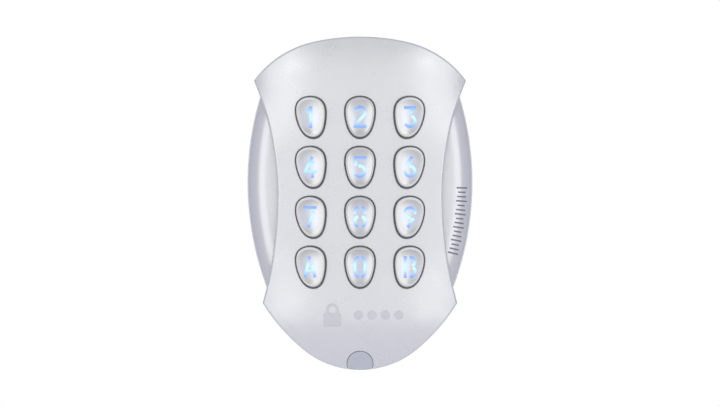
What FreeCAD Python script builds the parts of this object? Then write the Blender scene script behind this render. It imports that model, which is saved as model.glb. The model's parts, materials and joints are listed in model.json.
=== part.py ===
import FreeCAD, Part
import math
import os
import re

import Sketcher

from FreeCAD import Rotation, Vector

# A wall-mounted alarm keypad. +Z is up, the front faces -Y and the wall is the plane Y = 0.
# Depths are counted from the wall towards the front, so a depth d lies at Y = -d.
# The origin is the centre of the wall face. All sizes are millimetres.

doc = FreeCAD.newDocument("AlarmKeypad")

SIZES = {
    # front cover, seen from the front
    "cover_top": 71.0,
    "cover_bottom": 71.0,
    "top_arc_radius": 90.0,
    "top_arc_reach": 20.0,
    "bottom_arc_radius": 37.5,
    "bottom_arc_reach": 24.0,
    "upper_horn_x": 45.3,
    "upper_horn_z": 52.4,
    "lower_horn_x": 41.5,
    "lower_horn_z": -42.4,
    "waist_half": 35.1,
    "waist_z": 3.0,
    # front cover, in depth
    "cover_depth": 31.0,
    "cover_wall": 2.5,
    "cover_foot": 0.3,
    "side_droop": 1.4,
    "horn_droop": 6.0,
    "horn_start": 14.0,
    "horn_blend": 30.0,
    "top_roll": 4.0,
    "top_roll_start": 40.0,
    "bottom_roll": 8.0,
    "bottom_roll_start": 38.0,
    "cover_edge_round": 1.1,
    "opening_round": 0.3,
    "key_field_ceiling": 28.3,
    # rear housing and its wings
    "wing_half": 48.25,
    "wing_z": 9.0,
    "wing_radius": 127.0,
    "wing_front": 26.0,
    "wing_round": 9.0,
    "housing_wall": 2.2,
    "housing_foot": 2.3,
    "housing_top": 59.0,
    "housing_bottom": 57.0,
    "cover_clearance": 0.5,
    "wing_clearance": 0.3,
    "window_half": 30.0,
    "window_top": 47.5,
    "window_bottom": 38.5,
    "window_corner": 6.0,
    # back plate
    "plate_thick": 2.0,
    "plate_inset": 1.0,
    "wall_hole_radius": 2.25,
    "wall_hole_x": 25.0,
    "wall_hole_top": 46.0,
    "wall_hole_bottom": -38.0,
    "tab_half": 4.0,
    "tab_margin": 0.5,
    "tab_front": 5.0,
    "gasket_thick": 0.26,
    "gasket_margin": 0.4,
    # keys
    "key_pitch": 21.16,
    "key_row_top": 36.6,
    "key_half_width": 5.95,
    "key_half_height": 8.55,
    "key_taper": 0.2,
    "key_lean": 1.3,
    "key_gap": 0.55,
    "key_gap_shift": 0.13,
    "key_rim": 32.4,
    "key_tilt": 7.0,
    "dish_depth": 0.7,
    "dish_share": 0.87,
    "rim_round": 0.36,
    "flange_margin": 1.1,
    "flange_back": 26.7,
    "flange_front": 28.1,
    "cap_wall": 1.2,
    "cap_pocket_front": 29.4,
    # characters cut through the keys
    "character_half_width": 2.75,
    "character_half_height": 4.6,
    "stroke": 1.3,
    "guide_clearance": 0.06,
    "guide_recess": 0.15,
    # keypad board, mat, pills, pads, leds
    "keypad_board_back": 19.4,
    "keypad_board_front": 21.0,
    "board_half": 31.0,
    "board_top": 54.5,
    "board_bottom": 47.0,
    "board_corner": 4.0,
    "mat_margin": 1.5,
    "mat_thick": 1.3,
    "mat_top": 26.6,
    "dome_radius": 5.4,
    "plunger_radius": 3.3,
    "dome_hollow_radius": 4.4,
    "dome_hollow_front": 22.5,
    "dome_shoulder": 23.8,
    "pill_radius": 2.0,
    "pill_back": 22.05,
    "pill_thick": 0.4,
    "pad_radius": 2.4,
    "pad_thick": 0.035,
    "pad_split": 0.5,
    "led_x": 1.6,
    "led_z": 0.8,
    "led_thick": 0.6,
    "led_offset": 3.4,
    # main board and what is on it
    "main_board_back": 12.0,
    "main_board_front": 13.6,
    "part_back": 4.0,
    "seat_gap": 0.02,
    "screw_x": 26.0,
    "screw_top": 51.0,
    "screw_bottom": -43.5,
    "screw_radius": 1.25,
    "screw_head_radius": 2.4,
    "screw_head_thick": 1.7,
    "screw_hole_radius": 1.5,
    "screw_pilot_radius": 1.3,
    "screw_tip": 23.2,
    "cross_long": 3.0,
    "cross_wide": 0.6,
    "cross_deep": 0.9,
    "spacer_radius": 2.8,
    "boss_radius": 3.0,
    "terminal_pitch": 5.08,
    "terminal_ways": 10,
    "terminal_z": -31.0,
    "terminal_deep": 8.2,
    "terminal_screw_radius": 1.6,
    "clamp_offset": 1.4,
    "clamp_screw_back": 0.8,
    "clamp_screw_front": 2.9,
    "clamp_clearance": 0.1,
    "mouth_wide": 3.0,
    "mouth_back": 3.6,
    "mouth_front": 6.2,
    "slot_wide": 0.5,
    "slot_deep": 0.6,
    "relay_x": 18.0,
    "relay_z": 33.0,
    "relay_long": 19.0,
    "relay_wide": 10.5,
    "buzzer_radius": 6.0,
    "buzzer_z": 33.0,
    "capacitor_radius": 2.6,
    "capacitor_x": 25.0,
    "capacitor_z": 16.0,
    "capacitor_step": 7.0,
    "chip_thick": 1.3,
    "connector_half": 10.5,
    "connector_deep": 5.2,
    "connector_z": 5.0,
    # cable grommet
    "grommet_z": 0.0,
    "grommet_bore": 4.0,
    "grommet_neck": 7.0,
    "grommet_lip": 9.0,
    "grommet_lip_thick": 1.5,
    "grommet_clearance": 0.05,
    # tamper switch
    "tamper_x": -21.0,
    "tamper_z": -14.0,
    "tamper_radius": 4.0,
    "tamper_bore": 2.6,
    "tamper_back": 5.0,
    "tamper_lip": 1.0,
    "plunger_rod": 1.5,
    "plunger_end": 8.0,
    "plunger_collar": 2.45,
    "plunger_collar_thick": 1.0,
    "plunger_release": 0.5,
    "running_gap": 0.06,
    "coil_radius": 2.15,
    "coil_wire": 0.25,
    "coil_count": 5,
    # security screw and half-moon cap
    "moon_radius": 5.7,
    "moon_z": -68.3,
    "moon_gap": 0.25,
    "moon_wall": 1.3,
    "moon_floor": 8.0,
    "moon_floor_thick": 2.0,
    "security_z": -65.6,
    "security_radius": 1.5,
    "security_hole": 1.75,
    "security_thread": 1.56,
    "security_head": 2.8,
    "security_head_thick": 2.4,
    "security_socket": 1.2,
    "cap_hollow": 3.2,
    "cap_hollow_front": 11.5,
}

sheet = doc.addObject("Spreadsheet::Sheet", "Sizes")
for row, (alias, value) in enumerate(SIZES.items(), start=1):
    sheet.set(f"A{row}", alias.replace("_", " "))
    sheet.set(f"B{row}", str(value))
    sheet.setAlias(f"B{row}", alias)
doc.recompute()


def size(alias):
    """One driving dimension, read from the sheet."""
    return float(sheet.get(alias))


def bind(item, prop, formula):
    """Tie a property to the sheet: each alias in the formula becomes a reference to its cell."""

    def reference(word):
        return f"Sizes.{word[0]}" if word[0] in SIZES else word[0]

    item.setExpression(prop, re.sub(r"[a-z_]+", reference, str(formula)))


# ---------------------------------------------------------------- plain solids, bound to the sheet

FACING_FRONT = Rotation(Vector(1, 0, 0), 90)


def block(name, x, z, depth):
    """A box from three pairs of formulas: left and right, bottom and top, back and front."""
    box = doc.addObject("Part::Box", name)
    bind(box, "Length", f"({x[1]}) - ({x[0]})")
    bind(box, "Width", f"({depth[1]}) - ({depth[0]})")
    bind(box, "Height", f"({z[1]}) - ({z[0]})")
    bind(box, "Placement.Base.x", x[0])
    bind(box, "Placement.Base.y", f"-({depth[1]})")
    bind(box, "Placement.Base.z", z[0])
    return box


def rod(name, radius, x, z, depth):
    """A round bar that runs from the back depth to the front depth."""
    bar = doc.addObject("Part::Cylinder", name)
    bind(bar, "Radius", radius)
    bind(bar, "Height", f"({depth[1]}) - ({depth[0]})")
    bar.Placement = FreeCAD.Placement(Vector(), FACING_FRONT)
    bind(bar, "Placement.Base.x", x)
    bind(bar, "Placement.Base.y", f"-({depth[0]})")
    bind(bar, "Placement.Base.z", z)
    return bar


def taper(name, radius_back, radius_front, x, z, depth):
    """A round cone from the back depth to the front depth."""
    cone = doc.addObject("Part::Cone", name)
    bind(cone, "Radius1", radius_back)
    bind(cone, "Radius2", radius_front)
    bind(cone, "Height", f"({depth[1]}) - ({depth[0]})")
    cone.Placement = FreeCAD.Placement(Vector(), FACING_FRONT)
    bind(cone, "Placement.Base.x", x)
    bind(cone, "Placement.Base.y", f"-({depth[0]})")
    bind(cone, "Placement.Base.z", z)
    return cone


def fuse(name, items):
    joined = doc.addObject("Part::MultiFuse", name)
    joined.Shapes = items
    joined.Refine = True
    return joined


def group(name, items):
    """Separate solids that share one node, such as a set of screws."""
    gathered = doc.addObject("Part::Compound", name)
    gathered.Links = items
    return gathered


def cut(name, base, tool):
    result = doc.addObject("Part::Cut", name)
    result.Base = base
    result.Tool = tool
    return result


def shape_feature(name, shape, x="0", z="0"):
    """A shape made with Part's own functions, for the free-form surfaces and characters."""
    feature = doc.addObject("Part::Feature", name)
    feature.Shape = shape
    feature.Placement = FreeCAD.Placement()
    bind(feature, "Placement.Base.x", x)
    bind(feature, "Placement.Base.z", z)
    return feature


# ---------------------------------------------------------------- outlines, seen from the front


def point(x, z):
    """A point of an outline, in a sketch's own plane: x to the right and z up."""
    return Vector(x, z, 0)


def mirrored(where):
    return point(-where.x, where.y)


def along(centre, radius, towards):
    """The point of a circle that lies in the direction of another point."""
    return centre + (towards - centre).normalize() * radius


def meet(centre_a, radius_a, centre_b, radius_b, near):
    """Where two circles cross, nearest to a point."""
    gap = centre_b - centre_a
    reach = (gap.Length**2 + radius_a**2 - radius_b**2) / (2 * gap.Length)
    rise = math.sqrt(radius_a**2 - reach**2)
    foot = centre_a + Vector(gap).normalize() * reach
    side = Vector(-gap.y, gap.x, 0).normalize() * rise
    return min((foot + side, foot - side), key=lambda where: where.distanceToPoint(near))


def arc(centre, start, end):
    """The shorter arc about a centre between two points of its circle."""
    middle = along(centre, start.distanceToPoint(centre), (start + end) * 0.5)
    return Part.Arc(start, middle, end)


def tangent_centre(first_centre, start, end):
    """Centre of the arc that leaves start tangent to the first arc and passes through end."""
    normal = (first_centre - start).normalize()
    chord = end - start
    return start + normal * (chord.Length**2 / (2 * chord.dot(normal)))


def cover_circles():
    """Centres and radii of the arcs on the cover's right side, and the points where they join."""
    top = point(0, size("cover_top") - size("top_arc_radius"))
    top_rise = math.sqrt(size("top_arc_radius") ** 2 - size("top_arc_reach") ** 2)
    top_join = top + point(size("top_arc_reach"), top_rise)
    upper_horn = point(size("upper_horn_x"), size("upper_horn_z"))
    shoulder = tangent_centre(top, top_join, upper_horn)
    waist = point(size("waist_half"), size("waist_z"))
    lower_horn = point(size("lower_horn_x"), size("lower_horn_z"))
    upper_waist = tangent_centre(waist + point(1, 0), waist, upper_horn)
    lower_waist = tangent_centre(waist + point(1, 0), waist, lower_horn)
    bottom = point(0, size("bottom_arc_radius") - size("cover_bottom"))
    bottom_rise = math.sqrt(size("bottom_arc_radius") ** 2 - size("bottom_arc_reach") ** 2)
    bottom_join = bottom + point(size("bottom_arc_reach"), -bottom_rise)
    hip = tangent_centre(bottom, bottom_join, lower_horn)
    return {
        "top": (top, size("top_arc_radius"), top_join),
        "shoulder": (shoulder, shoulder.distanceToPoint(upper_horn), upper_horn),
        "upper_waist": (upper_waist, upper_waist.distanceToPoint(waist), waist),
        "lower_waist": (lower_waist, lower_waist.distanceToPoint(waist), lower_horn),
        "hip": (hip, hip.distanceToPoint(lower_horn), bottom_join),
        "bottom": (bottom, size("bottom_arc_radius"), bottom_join),
    }


def both_sides(right_side):
    """A closed outline from the arcs of its right side, listed as centre, start and end."""
    edges = [arc(*part) for part in right_side]
    for centre, start, end in reversed(right_side):
        edges.append(arc(mirrored(centre), mirrored(end), mirrored(start)))
    return edges


def cover_outline(inset):
    """The hourglass of the cover, moved inwards by a distance."""
    circles = cover_circles()
    top, top_radius, top_join = circles["top"]
    shoulder, shoulder_radius, upper_horn = circles["shoulder"]
    upper, upper_radius, waist = circles["upper_waist"]
    lower, lower_radius, lower_horn = circles["lower_waist"]
    hip, hip_radius, bottom_join = circles["hip"]
    bottom, bottom_radius, _ = circles["bottom"]
    apex = point(0, size("cover_top") - inset)
    base = point(0, inset - size("cover_bottom"))
    start = along(top, top_radius - inset, top_join)
    horn = meet(shoulder, shoulder_radius - inset, upper, upper_radius + inset, upper_horn)
    middle = waist - point(inset, 0)
    tip = meet(lower, lower_radius + inset, hip, hip_radius - inset, lower_horn)
    end = along(bottom, bottom_radius - inset, bottom_join)
    return both_sides(
        [
            (top, apex, start),
            (shoulder, start, horn),
            (upper, horn, middle),
            (lower, middle, tip),
            (hip, tip, end),
            (bottom, end, base),
        ]
    )


def wing_circle():
    """Centre of the right wing's arc."""
    return point(size("wing_half") - size("wing_radius"), size("wing_z"))


def lens_corners(side_inset, end_inset):
    """Where the wing's arc meets the cover's top and bottom arcs, on the right side."""
    circles = cover_circles()
    shoulder, shoulder_radius, upper_horn = circles["shoulder"]
    hip, hip_radius, _ = circles["hip"]
    lower_horn = circles["lower_waist"][2]
    wing = wing_circle()
    wing_radius = size("wing_radius") - side_inset
    upper = meet(wing, wing_radius, shoulder, shoulder_radius - end_inset, upper_horn)
    lower = meet(wing, wing_radius, hip, hip_radius - end_inset, lower_horn)
    return upper, lower


def plate_outline(side_inset, end_inset):
    """The back plate: the lens of the wings between the cover's top and bottom arcs."""
    circles = cover_circles()
    top, top_radius, top_join = circles["top"]
    bottom, bottom_radius, bottom_join = circles["bottom"]
    upper, lower = lens_corners(side_inset, end_inset)
    start = along(top, top_radius - end_inset, top_join)
    end = along(bottom, bottom_radius - end_inset, bottom_join)
    return both_sides(
        [
            (top, point(0, size("cover_top") - end_inset), start),
            (circles["shoulder"][0], start, upper),
            (wing_circle(), upper, lower),
            (circles["hip"][0], lower, end),
            (bottom, end, point(0, end_inset - size("cover_bottom"))),
        ]
    )


def housing_outline(inset):
    """The rear housing's foot: the wings' lens, cut square at the top and above the security screw."""
    circles = cover_circles()
    end_inset = size("cover_wall") + size("cover_clearance") + inset
    shoulder, shoulder_radius, _ = circles["shoulder"]
    hip, hip_radius, _ = circles["hip"]
    upper, lower = lens_corners(inset, end_inset)
    top_z = size("housing_top") - inset
    top_x = shoulder.x + math.sqrt((shoulder_radius - end_inset) ** 2 - (top_z - shoulder.y) ** 2)
    top_end = point(top_x, top_z)
    floor_z = inset - size("housing_bottom")
    floor_x = hip.x + math.sqrt((hip_radius - end_inset) ** 2 - (floor_z - hip.y) ** 2)
    floor_end = point(floor_x, floor_z)
    right_side = [(shoulder, top_end, upper), (wing_circle(), upper, lower), (hip, lower, floor_end)]
    edges = both_sides(right_side)
    edges.insert(len(right_side), Part.LineSegment(floor_end, mirrored(floor_end)))
    edges.append(Part.LineSegment(mirrored(top_end), top_end))
    return edges


def ends_outline(inset):
    """The top and bottom of the housing, with sides that stand clear of the wings."""
    circles = cover_circles()
    end_inset = size("cover_wall") + size("cover_clearance") + inset
    shoulder, shoulder_radius, _ = circles["shoulder"]
    hip, hip_radius, _ = circles["hip"]
    widest_above = shoulder + point(shoulder_radius - end_inset, 0)
    widest_below = hip + point(hip_radius - end_inset, 0)
    top_z = size("housing_top") - inset
    top_x = shoulder.x + math.sqrt((shoulder_radius - end_inset) ** 2 - (top_z - shoulder.y) ** 2)
    top_end = point(top_x, top_z)
    floor_z = inset - size("housing_bottom")
    floor_x = hip.x + math.sqrt((hip_radius - end_inset) ** 2 - (floor_z - hip.y) ** 2)
    floor_end = point(floor_x, floor_z)
    return [
        Part.LineSegment(mirrored(top_end), top_end),
        arc(shoulder, top_end, widest_above),
        Part.LineSegment(widest_above, widest_below),
        arc(hip, widest_below, floor_end),
        Part.LineSegment(floor_end, mirrored(floor_end)),
        arc(mirrored(hip), mirrored(floor_end), mirrored(widest_below)),
        Part.LineSegment(mirrored(widest_below), mirrored(widest_above)),
        arc(mirrored(shoulder), mirrored(widest_above), mirrored(top_end)),
    ]


def outline_body(name, edges, depth):
    """A body padded from an outline, from its back depth to its front depth."""
    body = doc.addObject("PartDesign::Body", name)
    sketch = body.newObject("Sketcher::SketchObject", f"{name}_outline")
    plane = next(item for item in body.Origin.OriginFeatures if item.Role == "XZ_Plane")
    sketch.AttachmentSupport = [(plane, "")]
    sketch.MapMode = "FlatFace"
    bind(sketch, "AttachmentOffset.Base.z", depth[0])
    for edge in edges:
        sketch.addGeometry(edge, False)
    doc.recompute()
    pad = body.newObject("PartDesign::Pad", f"{name}_pad")
    pad.Profile = sketch
    bind(pad, "Length", f"({depth[1]}) - ({depth[0]})")
    doc.recompute()
    return body


def rounded_rectangle(name, half, top, bottom, corner, depth):
    """A plate with square sides and rounded corners, sketched with constraints on the sheet."""
    body = doc.addObject("PartDesign::Body", name)
    sketch = body.newObject("Sketcher::SketchObject", f"{name}_outline")
    plane = next(item for item in body.Origin.OriginFeatures if item.Role == "XZ_Plane")
    sketch.AttachmentSupport = [(plane, "")]
    sketch.MapMode = "FlatFace"
    bind(sketch, "AttachmentOffset.Base.z", depth[0])
    corners = [point(-20, -20), point(20, -20), point(20, 20), point(-20, 20)]
    for first, second in zip(corners, corners[1:] + corners[:1]):
        sketch.addGeometry(Part.LineSegment(first, second), False)
    for side in range(4):
        sketch.addConstraint(Sketcher.Constraint("Coincident", side, 2, (side + 1) % 4, 1))
    for side in (0, 2):
        sketch.addConstraint(Sketcher.Constraint("Horizontal", side))
        sketch.addConstraint(Sketcher.Constraint("Vertical", side + 1))
    limits = [("DistanceX", 0, 1, -1, 1, half), ("DistanceX", -1, 1, 0, 2, half)]
    limits += [("DistanceY", 0, 1, -1, 1, bottom), ("DistanceY", -1, 1, 2, 1, top)]
    for kind, first, first_end, second, second_end, formula in limits:
        number = sketch.addConstraint(Sketcher.Constraint(kind, first, first_end, second, second_end, 20.0))
        bind(sketch, f"Constraints[{number}]", formula)
    doc.recompute()
    pad = body.newObject("PartDesign::Pad", f"{name}_pad")
    pad.Profile = sketch
    bind(pad, "Length", f"({depth[1]}) - ({depth[0]})")
    doc.recompute()
    upright = [
        f"Edge{number}"
        for number, edge in enumerate(pad.Shape.Edges, start=1)
        if abs(edge.tangentAt(edge.FirstParameter).y) > 0.99
    ]
    fillet = body.newObject("PartDesign::Fillet", f"{name}_corners")
    fillet.Base = (pad, upright)
    bind(fillet, "Radius", corner)
    doc.recompute()
    return body


def turned_body(name, profile, x, z):
    """A round piece turned about a front-to-back axis from its depth and radius corners."""
    body = doc.addObject("PartDesign::Body", name)
    sketch = body.newObject("Sketcher::SketchObject", f"{name}_profile")
    plane = next(item for item in body.Origin.OriginFeatures if item.Role == "XY_Plane")
    sketch.AttachmentSupport = [(plane, "")]
    sketch.MapMode = "FlatFace"
    corners = [Vector(radius, -depth, 0) for depth, radius in profile]
    for first, second in zip(corners, corners[1:] + corners[:1]):
        sketch.addGeometry(Part.LineSegment(first, second), False)
    doc.recompute()
    turn = body.newObject("PartDesign::Revolution", f"{name}_turn")
    turn.Profile = sketch
    turn.ReferenceAxis = (sketch, ["V_Axis"])
    turn.Angle = 360
    bind(body, "Placement.Base.x", x)
    bind(body, "Placement.Base.z", z)
    doc.recompute()
    return body


# ---------------------------------------------------------------- housing and back plate

SCREWS = [(side, level) for side in ("-screw_x", "screw_x") for level in ("screw_top", "screw_bottom")]


def wing_disc(name, side, inset, depth):
    """A great disc with a bullnose front edge: its rim is one wing of the housing."""
    body = doc.addObject("PartDesign::Body", name)
    sketch = body.newObject("Sketcher::SketchObject", f"{name}_circle")
    plane = next(item for item in body.Origin.OriginFeatures if item.Role == "XZ_Plane")
    sketch.AttachmentSupport = [(plane, "")]
    sketch.MapMode = "FlatFace"
    bind(sketch, "AttachmentOffset.Base.z", depth[0])
    sketch.addGeometry(Part.Circle(Vector(0, 0, 0), Vector(0, 0, 1), 100), False)
    sketch.addConstraint(Sketcher.Constraint("Coincident", 0, 3, -1, 1))
    sketch.addConstraint(Sketcher.Constraint("Radius", 0, 100))
    bind(sketch, "Constraints[1]", f"wing_radius - ({inset})")
    pad = body.newObject("PartDesign::Pad", f"{name}_pad")
    pad.Profile = sketch
    bind(pad, "Length", f"({depth[1]}) - ({depth[0]})")
    doc.recompute()
    depths = [edge.BoundBox.YMax for edge in pad.Shape.Edges]
    fillet = body.newObject("PartDesign::Fillet", f"{name}_bullnose")
    fillet.Base = (pad, [f"Edge{depths.index(min(depths)) + 1}"])
    bind(fillet, "Radius", f"wing_round - ({inset})")
    bind(body, "Placement.Base.x", f"{side} * (wing_half - wing_radius)")
    bind(body, "Placement.Base.z", "wing_z")
    return body


def housing_envelope(name, inset, depth):
    """The housing's rounded outside, or its hollow when it is set inwards."""
    ends = outline_body(f"{name}_ends", ends_outline(inset), depth)
    discs = [wing_disc(f"{name}_{word}", side, inset, depth) for word, side in (("right", 1), ("left", -1))]
    lens = doc.addObject("Part::MultiCommon", name)
    lens.Shapes = [ends] + discs
    return lens


def rear_housing():
    wall = size("housing_wall")
    outside = housing_envelope("housing_outside", 0.0, ("housing_foot", "wing_front"))
    hollow = housing_envelope("housing_hollow", wall, ("housing_foot - 1", f"wing_front - ({wall})"))
    shell = cut("housing_shell", outside, hollow)
    window = rounded_rectangle(
        "housing_window",
        "window_half",
        "window_top",
        "window_bottom",
        "window_corner",
        ("wing_front - 2 * housing_wall", "wing_front + 1"),
    )
    bosses = [
        rod(f"boss_{number}", "boss_radius", x, z, ("keypad_board_front", "wing_front - housing_wall / 2"))
        for number, (x, z) in enumerate(SCREWS, start=1)
    ]
    pilots = [
        rod(f"pilot_{number}", "screw_pilot_radius", x, z, ("keypad_board_front - 1", "screw_tip + 0.3"))
        for number, (x, z) in enumerate(SCREWS, start=1)
    ]
    opened = cut("housing_opened", shell, window)
    bossed = fuse("housing_bossed", [opened] + bosses)
    return cut("rear_housing", bossed, group("housing_pilots", pilots))


def back_plate():
    end_inset = size("cover_wall") + size("cover_clearance")
    plate = outline_body("plate_blank", plate_outline(size("plate_inset"), end_inset), ("0", "plate_thick"))
    tab = block(
        "plate_tab",
        ("-tab_half", "tab_half"),
        ("security_z - security_thread - tab_margin", "security_z + 3 * security_radius"),
        ("plate_thick / 2", "tab_front"),
    )
    through = ("-1", "plate_thick + 1")
    places = [(x, z) for x in ("-wall_hole_x", "wall_hole_x") for z in ("wall_hole_bottom", "wall_hole_top")]
    holes = [
        rod(f"wall_hole_{number}", "wall_hole_radius", x, z, through)
        for number, (x, z) in enumerate(places, start=1)
    ]
    holes.append(rod("plate_cable_hole", "grommet_neck", "0", "grommet_z", through))
    holes.append(rod("plate_tamper_hole", "plunger_rod + 0.5", "tamper_x", "tamper_z", through))
    holes.append(rod("plate_thread", "security_thread", "0", "security_z", ("-1", "tab_front + 1")))
    return cut("back_plate", fuse("plate_tabbed", [plate, tab]), group("plate_holes", holes))


def wall_gasket():
    """The thin rubber ring between the housing's rear rim and the back plate."""
    margin = size("gasket_margin")
    outer_inset = margin + size("plate_inset")
    depth = ("plate_thick + seat_gap", "plate_thick + seat_gap + gasket_thick")
    outer = outline_body("gasket_outer", housing_outline(outer_inset), depth)
    opening = housing_outline(size("housing_wall"))
    inner = outline_body("gasket_inner", opening, ("plate_thick - 1", "housing_foot + 1"))
    return cut("wall_gasket", outer, inner)


# ---------------------------------------------------------------- keys

NAMES = ["1", "2", "3", "4", "5", "6", "7", "8", "9", "A", "0", "B"]
KEYS = [
    (name, number % 3 - 1, f"{number % 3 - 1} * key_pitch", f"key_row_top - {number // 3} * key_pitch")
    for number, name in enumerate(NAMES)
]


def key_wire(column, grow, scale, depth):
    """The egg-shaped outline of a key: full at the top, its foot drawn inwards in the outer columns."""
    half_width = (size("key_half_width") + grow) * scale
    half_height = (size("key_half_height") + grow) * scale
    points = []
    steps = 28
    for step in range(steps):
        turn = 2 * math.pi * step / steps
        level = math.cos(turn)
        fullness = 1 + size("key_taper") * (level + level**2)
        lean = -column * size("key_lean") * scale * ((1 - level) / 2) ** 2
        points.append(Vector(half_width * math.sin(turn) * fullness + lean, -depth, half_height * level))
    curve = Part.BSplineCurve()
    curve.interpolate(Points=points, PeriodicFlag=True)
    return Part.Wire(curve.toShape())


def key_prism(column, grow, back, front):
    return Part.Face(key_wire(column, grow, 1, back)).extrude(Vector(0, back - front, 0))


def rim_depth(column):
    """Depth of a key's rim at its middle: the outer columns follow the droop of the cover."""
    return size("key_rim") - size("side_droop") * (column * size("key_pitch") / size("waist_half")) ** 2


def leaned(shape, column):
    """A shape turned about the middle of a key's rim, so that the outer columns lean outwards."""
    return shape.rotated(Vector(0, -rim_depth(column), 0), Vector(0, 0, 1), column * size("key_tilt"))


def face_tools(column, recess):
    """What is cut away above a key's face: its spoon-shaped hollow, set deeper by a recess, and the room."""
    sections = []
    for reach in (0.05, 0.35, 0.6, 0.85, 1.0, 1.13):
        depth = rim_depth(column) - recess - size("dish_depth") * (1 - reach**2)
        sections.append(key_wire(column, 0, size("dish_share") * reach, depth))
    half_room = 1.5 * size("key_half_height")
    corner = Vector(-half_room, -rim_depth(column) - half_room, -half_room)
    room = Part.makeBox(2 * half_room, half_room, 2 * half_room, corner)
    return [leaned(Part.makeLoft(sections, True, False), column), leaned(room, column)]


def in_rim_plane(edge, column):
    """Whether an edge lies in the plane of a key's rim."""
    straight = leaned(edge, -column)
    box = straight.BoundBox
    return max(abs(box.YMin + rim_depth(column)), abs(box.YMax + rim_depth(column))) < 0.01


# Each character is drawn in strokes on a grid of half widths and half heights: a bar from one point
# to another, or a bow about a centre with a radius, a start and an end angle. Small breaks keep
# the middles of the closed characters joined to the key, as in a stencil.
CHARACTERS = {
    "1": [("bar", 0.15, -1, 0.15, 1), ("bar", 0.15, 0.88, -0.8, 0.52)],
    "2": [("bow", 0, 0.53, 1, -40, 165), ("bar", 0.77, 0.18, -0.9, -0.84), ("bar", -1, -1, 1, -1)],
    "3": [("bar", -0.9, 1, 0.9, 1), ("bar", 0.78, 0.9, 0, 0.42), ("bow", 0, -0.45, 1.05, -150, 75)],
    "4": [
        ("bar", 0.45, 1.1, -0.95, -0.4),
        ("bar", -0.9, -0.5, 1, -0.5),
        ("bar", 0.5, 0.5, 0.5, 0.02),
        ("bar", 0.5, -0.5, 0.5, -1),
    ],
    "5": [("bar", -0.9, 1, 0.95, 1), ("bar", -0.9, 1, -0.9, 0.28), ("bow", -0.05, -0.45, 1.05, -150, 105)],
    "6": [("bar", 0.45, 1.12, -0.72, 0.12), ("bow", 0, -0.45, 1, -195, 100)],
    "7": [("bar", -1, 1, 1, 1), ("bar", 0.82, 0.62, -0.4, -1.12)],
    "8": [
        ("bow", 0, 0.53, 1, -20, 70),
        ("bow", 0, 0.53, 1, 110, 200),
        ("bow", 0, -0.47, 1.05, 110, 250),
        ("bow", 0, -0.47, 1.05, -70, 70),
    ],
    "9": [("bar", -0.45, -1.12, 0.72, -0.12), ("bow", 0, 0.45, 1, -15, 280)],
    "A": [("bar", -1, -1.12, -0.1, 1.12), ("bar", 1, -1.12, 0.45, 0.25), ("bar", -0.3, -0.45, 0.3, -0.45)],
    "0": [
        ("bow", 0, 0.53, 1, 105, 180),
        ("bar", -1, 0.4, -1, -0.4),
        ("bow", 0, -0.53, 1, 180, 255),
        ("bow", 0, 0.53, 1, 0, 75),
        ("bar", 1, 0.4, 1, -0.4),
        ("bow", 0, -0.53, 1, -75, 0),
    ],
    "B": [("bar", -0.95, -1, -0.95, 1), ("bow", 0.05, 0.53, 0.9, -60, 95), ("bow", 0.05, -0.5, 1, -95, 60)],
}


def character(name, narrower, back, front):
    """The strokes of one character as solids, each narrower than the stroke by a clearance.

    Upright and level bars run half a stroke past their points, so that square corners close.
    """
    half_stroke = size("stroke") / 2 - narrower
    unit_x = size("character_half_width") - size("stroke") / 2
    unit_z = size("character_half_height") - size("stroke") / 2
    solids = []
    for kind, *numbers in CHARACTERS[name]:
        if kind == "bar":
            start = Vector(numbers[0] * unit_x, -back, numbers[1] * unit_z)
            end = Vector(numbers[2] * unit_x, -back, numbers[3] * unit_z)
            ahead = (end - start).normalize()
            aside = Vector(-ahead.z, 0, ahead.x) * half_stroke
            square = min(abs(ahead.x), abs(ahead.z)) < 0.01
            past = ahead * half_stroke if square else Vector()
            corners = [start - past - aside, end + past - aside, end + past + aside, start - past + aside]
            outline = Part.makePolygon(corners + corners[:1])
        else:
            centre = Vector(numbers[0] * unit_x, -back, numbers[1] * unit_z)
            radius = numbers[2] * unit_x
            outline = bow_outline(centre, radius, half_stroke, numbers[3], numbers[4])
        solids.append(Part.Face(outline).extrude(Vector(0, back - front, 0)))
    return solids


def bow_outline(centre, radius, half_stroke, start, end):
    """A curved stroke: two concentric arcs closed by straight ends."""

    def spot(reach, degrees):
        turn = math.radians(degrees)
        return centre + Vector(math.cos(turn), 0, math.sin(turn)) * reach

    outer, inner = radius + half_stroke, radius - half_stroke
    middle = (start + end) / 2
    edges = [
        Part.Arc(spot(outer, start), spot(outer, middle), spot(outer, end)).toShape(),
        Part.makeLine(spot(outer, end), spot(inner, end)),
        Part.Arc(spot(inner, end), spot(inner, middle), spot(inner, start)).toShape(),
        Part.makeLine(spot(inner, start), spot(outer, start)),
    ]
    return Part.Wire(edges)


def key_cap(name, column):
    """A metal cap: a flange, a hollowed face with a rounded rim, an open back and a pierced character."""
    face = key_prism(column, 0, size("flange_back"), size("key_rim") + size("key_half_width") / 2)
    flange = key_prism(column, size("flange_margin"), size("flange_back"), size("flange_front"))
    hollow = key_prism(column, -size("cap_wall"), size("flange_back") - 1, size("cap_pocket_front"))
    blank = face.fuse(flange).removeSplitter().cut([hollow] + face_tools(column, 0))
    rims = [edge for edge in blank.Edges if in_rim_plane(edge, column)]
    rounded = blank.makeFillet(size("rim_round"), rims)
    return rounded.cut(character(name, 0, size("cap_pocket_front") - 1, size("key_rim") + 1))


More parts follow.
